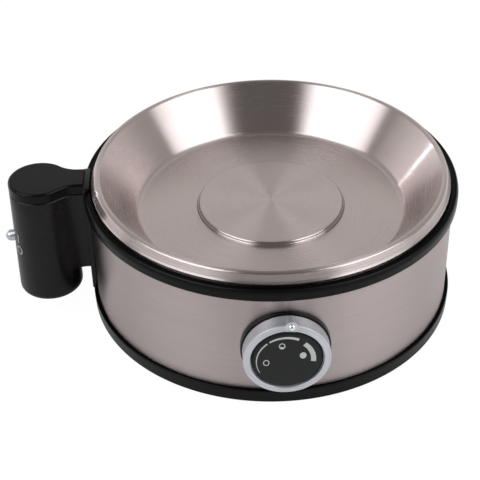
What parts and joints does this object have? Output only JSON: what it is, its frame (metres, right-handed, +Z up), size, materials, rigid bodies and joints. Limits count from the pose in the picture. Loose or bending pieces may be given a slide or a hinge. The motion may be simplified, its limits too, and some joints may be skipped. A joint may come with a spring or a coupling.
{
  "type": "table-top electric heating base",
  "caption": "Round electric heating base with an open brushed steel dish, a graded front heat-control knob and a side pod holding an on/off toggle.",
  "frame": {"origin": "middle of the footprint's bounding box, at the table surface under the feet; the round casing's own axis stands at x 21.08 mm, y 4.54 mm", "axes": "+Z up along the casing's axis; the control knob faces -Y; the side pod stands out along -X"},
  "size_m": [0.2282, 0.195, 0.0732],
  "materials": {
    "dish_steel": "circular brushed stainless steel",
    "casing_steel": "horizontally brushed stainless steel",
    "black_plastic": "satin black moulded plastic",
    "base_plastic": "fine-textured black moulded plastic",
    "dial_plastic": "satin black with pale printed scale",
    "satin_silver": "satin silver paint",
    "bead_chrome": "bright plated",
    "rubber": "matte black",
    "cord_pvc": "black PVC",
    "zinc_steel": "zinc plated",
    "brass": "plain",
    "contact_bronze": "spring bronze",
    "spreader_aluminium": "cast, as machined",
    "element_sheath": "heat-tinted steel sheath",
    "ceramic": "unglazed steatite",
    "phenolic": "moulded phenolic",
    "nylon": "natural nylon",
    "fuse_case": "plain",
    "lead_red": "silicone insulation",
    "lead_blue": "silicone insulation",
    "lead_black": "silicone insulation",
    "lead_white": "glass-fibre sleeve"
  },
  "bodies": {
    "base": {"arm_bracket": "black_plastic", "base_plate": "base_plastic", "base_ring": "black_plastic", "base_screw_1": "zinc_steel", "base_screw_2": "zinc_steel", "base_screw_3": "zinc_steel", "base_screw_4": "zinc_steel", "clamp_bar": "zinc_steel", "clamp_nut": "zinc_steel", "contact_leaf": "contact_bronze", "cord_bush": "rubber", "dial_face": "dial_plastic", "dial_post": "zinc_steel", "dish_gasket": "rubber", "foot_1": "rubber", "foot_2": "rubber", "foot_3": "rubber", "foot_4": "rubber", "heat_spreader": "spreader_aluminium", "heating_dish": "dish_steel", "heating_element": "element_sheath", "knob_collar": "black_plastic", "lead_block_to_regulator": "lead_red", "lead_block_to_switch": "lead_blue", "lead_fuse_to_element": "lead_white", "lead_regulator_to_element": "lead_white", "lead_switch_to_fuse": "lead_black", "lever_pin": "zinc_steel", "mains_cord": "cord_pvc", "plug": "cord_pvc", "pod_cap": "black_plastic", "pod_housing": "black_plastic", "pod_screw_1": "zinc_steel", "pod_screw_2": "zinc_steel", "regulator_body": "ceramic", "regulator_cover": "phenolic", "regulator_nut": "brass", "regulator_terminal_1": "brass", "regulator_terminal_2": "brass", "shell": "casing_steel", "switch_body": "phenolic", "switch_terminal_1": "brass", "switch_terminal_2": "brass", "terminal_block": "nylon", "thermal_fuse": "fuse_case", "top_ring": "black_plastic"},
    "control_knob": {"knob_ring": "satin_silver", "pointer_bead": "bead_chrome", "drive_sleeve": "brass", "regulator_cam": "nylon"},
    "toggle": {"toggle_lever": "satin_silver"},
    "rocker": {"contact_rocker": "contact_bronze"}
  },
  "joints": [
    {"name": "knob_turn", "type": "hinge", "parent": "base", "child": "control_knob", "pos_m": [0.02108, -0.09146, 0.0344], "axis": [0, -1, 0], "range_deg": [-92, 126]},
    {"name": "toggle_flip", "type": "hinge", "parent": "base", "child": "toggle", "pos_m": [-0.10042, 0.00454, 0.0398], "axis": [0, 1, 0], "range_deg": [0, 18]},
    {"name": "rocker_flip", "type": "hinge", "parent": "base", "child": "rocker", "pos_m": [-0.09442, 0.00454, 0.0398], "axis": [0, 1, 0], "range_deg": [-18, 0]}
  ],
  "couplings": [
    {"joint": "rocker_flip", "follows": "toggle_flip", "ratio": -1}
  ]
}
